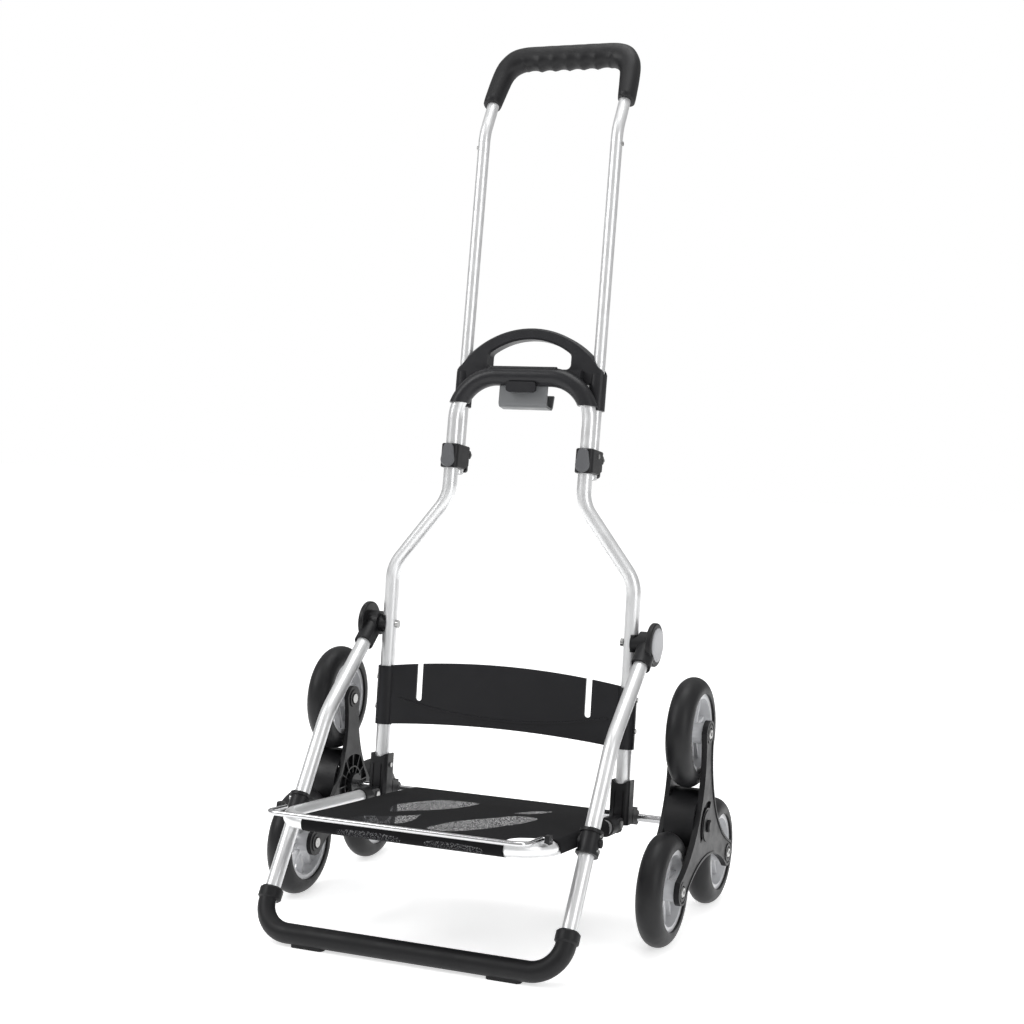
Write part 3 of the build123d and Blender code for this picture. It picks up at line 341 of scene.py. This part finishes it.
left_x = -131.0
columns = 126
cloth_verts, net_mask, cloth_flat = [], [], []
windows = [
    [(95, 78), (104, 88), (100, 130), (90, 165), (78, 205), (65, 235), (50, 250), (35, 252),
     (22, 245), (28, 180), (40, 150), (55, 120), (70, 85)],
    [(-5, 22), (0, 30), (-8, 70), (-18, 100), (-35, 125), (-55, 150), (-62, 168), (-78, 130),
     (-82, 100), (-70, 70), (-55, 30)],
    [(-22, 158), (-22, 165), (-12, 200), (-12, 245), (-75, 262), (-75, 215), (-50, 200),
     (-35, 180)],
    [(100, 15), (88, 52), (60, 72), (74, 36)],
    [(-60, -54), (-15, -54), (-15, -44), (-60, -44)],
    [(32, -54), (92, -54), (92, -44), (32, -44)],
    [(-84, 269), (0, 269), (0, 281), (-84, 281)],
    [(30, 269), (105, 269), (105, 281), (30, 281)],
]


def rounded(points, rounds=2):
    for _ in range(rounds):
        cut = []
        for a, b in zip(points, points[1:] + points[:1]):
            cut.append((a[0] * 0.8 + b[0] * 0.2, a[1] * 0.8 + b[1] * 0.2))
            cut.append((a[0] * 0.2 + b[0] * 0.8, a[1] * 0.2 + b[1] * 0.8))
        points = cut
    return points


def inside_depth(p, polygon):
    """Distance to the outline, positive inside, in millimetres."""
    inside = False
    nearest = 1e9
    for (ax, ay), (bx, by) in zip(polygon, polygon[1:] + polygon[:1]):
        if (ay > p[1]) != (by > p[1]) and p[0] < (bx - ax) * (p[1] - ay) / (by - ay) + ax:
            inside = not inside
        ex, ey = bx - ax, by - ay
        t = max(0.0, min(1.0, ((p[0] - ax) * ex + (p[1] - ay) * ey) / (ex * ex + ey * ey)))
        nearest = min(nearest, math.hypot(p[0] - ax - t * ex, p[1] - ay - t * ey))
    return nearest if inside else -nearest


leaves = [rounded(w) for w in windows]
axle_run = run[[i for i, p in enumerate(section) if p[0] > axle_d + 1][0]] - 1
for row, (d, n) in enumerate(section):
    along = run[row] - axle_run + axle_d
    edge = right_limit(along if along < 262 else 300)
    for col in range(columns + 1):
        w = left_x + (edge - left_x) * col / columns
        x, lift, ahead = w, n, d
        if w > wrap_x and 20 < d < 240:
            turn = min((w - wrap_x) / wrap_r, math.pi / 2)
            x = wrap_x + wrap_r * math.sin(turn)
            lift = wrap_r * math.cos(turn) - max(0.0, w - wrap_x - wrap_r * math.pi / 2)
        place = pin + (ahead_dir * ahead + lift_dir * lift) / 1000 + Vector((x / 1000, 0, 0))
        cloth_verts.append(place)
        cloth_flat.append((w, along))
        net_mask.append(max(inside_depth((w, along), leaf) for leaf in leaves) / 1000)
cloth_faces = []
for row in range(len(section) - 1):
    for col in range(columns):
        a = row * (columns + 1) + col
        cloth_faces.append((a, a + 1, a + columns + 2, a + columns + 1))
cloth = add_piece("platform_cloth", cloth_verts, cloth_faces, "cloth")
attribute = cloth.data.attributes.new("net", "FLOAT", "POINT")
attribute.data.foreach_set("value", net_mask)
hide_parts("platform_fabric")
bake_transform(cloth)


# ------------------------------------------------------------------ camera
yaw, pitch, roll = (math.radians(a) for a in (22.37, 4.38, 1.28))
ahead = Vector((-math.sin(yaw) * math.cos(pitch), math.cos(yaw) * math.cos(pitch), -math.sin(pitch)))
level = Vector((math.cos(yaw), math.sin(yaw), 0))
upright = level.cross(ahead)
right = level * math.cos(roll) + upright * math.sin(roll)
up = -level * math.sin(roll) + upright * math.cos(roll)
camera_data = bpy.data.cameras.new("camera")
camera_data.sensor_width = 36
camera_data.lens = 1777.86 / 1024 * 36
camera = bpy.data.objects.new("camera", camera_data)
camera.matrix_world = Matrix((
    (right.x, up.x, -ahead.x, 0.88557),
    (right.y, up.y, -ahead.y, -2.15124 + axle.y),
    (right.z, up.z, -ahead.z, 0.69308),
    (0, 0, 0, 1),
))
bpy.context.scene.collection.objects.link(camera)
bpy.context.scene.camera = camera


# ---------------------------------------------------------- light and floor
def area_light(name, place, target, size, power):
    data = bpy.data.lights.new(name, "AREA")
    data.shape = "RECTANGLE"
    data.size, data.size_y = size
    data.energy = power
    light = bpy.data.objects.new(name, data)
    light.location = place
    light.rotation_mode = "QUATERNION"
    light.rotation_quaternion = (Vector(target) - Vector(place)).to_track_quat("-Z", "Y")
    bpy.context.scene.collection.objects.link(light)


area_light("key", (-1.9, -1.6, 2.4), (0, 0, 0.5), (0.9, 1.8), 34)
area_light("fill", (2.6, -1.2, 1.5), (0, 0, 0.5), (0.9, 2.0), 20)
area_light("top", (0.2, 0.4, 3.2), (0, 0, 0), (1.8, 1.8), 30)
world = bpy.data.worlds.new("studio")
bpy.context.scene.world = world
world.use_nodes = True
sky = world.node_tree
plain = sky.nodes["Background"]
plain.inputs["Color"].default_value = (1, 1, 1, 1)
plain.inputs["Strength"].default_value = 1.0
room = sky.nodes.new("ShaderNodeBackground")
room.inputs["Strength"].default_value = 0.58
coords = sky.nodes.new("ShaderNodeTexCoord")
split = sky.nodes.new("ShaderNodeSeparateXYZ")
sky.links.new(coords.outputs["Generated"], split.inputs[0])
shade = sky.nodes.new("ShaderNodeMapRange")
shade.inputs["From Min"].default_value = -0.25
shade.inputs["From Max"].default_value = 0.75
shade.inputs["To Min"].default_value = 0.22
shade.inputs["To Max"].default_value = 1.0
sky.links.new(split.outputs["Z"], shade.inputs["Value"])
sky.links.new(shade.outputs["Result"], room.inputs["Color"])
rays = sky.nodes.new("ShaderNodeLightPath")
choose = sky.nodes.new("ShaderNodeMixShader")
sky.links.new(rays.outputs["Is Camera Ray"], choose.inputs[0])
sky.links.new(room.outputs[0], choose.inputs[1])
sky.links.new(plain.outputs[0], choose.inputs[2])
sky.links.new(choose.outputs[0], sky.nodes["World Output"].inputs["Surface"])
bpy.context.scene.view_settings.view_transform = "Standard"

floor_mesh = bpy.data.meshes.new("floor")
floor_mesh.from_pydata([(-8, -8, 0), (8, -8, 0), (8, 8, 0), (-8, 8, 0)], [], [(0, 1, 2, 3)])
floor = bpy.data.objects.new("floor", floor_mesh)
bpy.context.scene.collection.objects.link(floor)
floor_mat, floor_tree, floor_bsdf = new_material("floor")
floor_bsdf.inputs["Base Color"].default_value = (0.93, 0.93, 0.93, 1)
floor_bsdf.inputs["Roughness"].default_value = 0.9
floor_bsdf.inputs["Emission Color"].default_value = (1, 1, 1, 1)
floor_bsdf.inputs["Emission Strength"].default_value = 0.62
floor_mesh.materials.append(floor_mat)
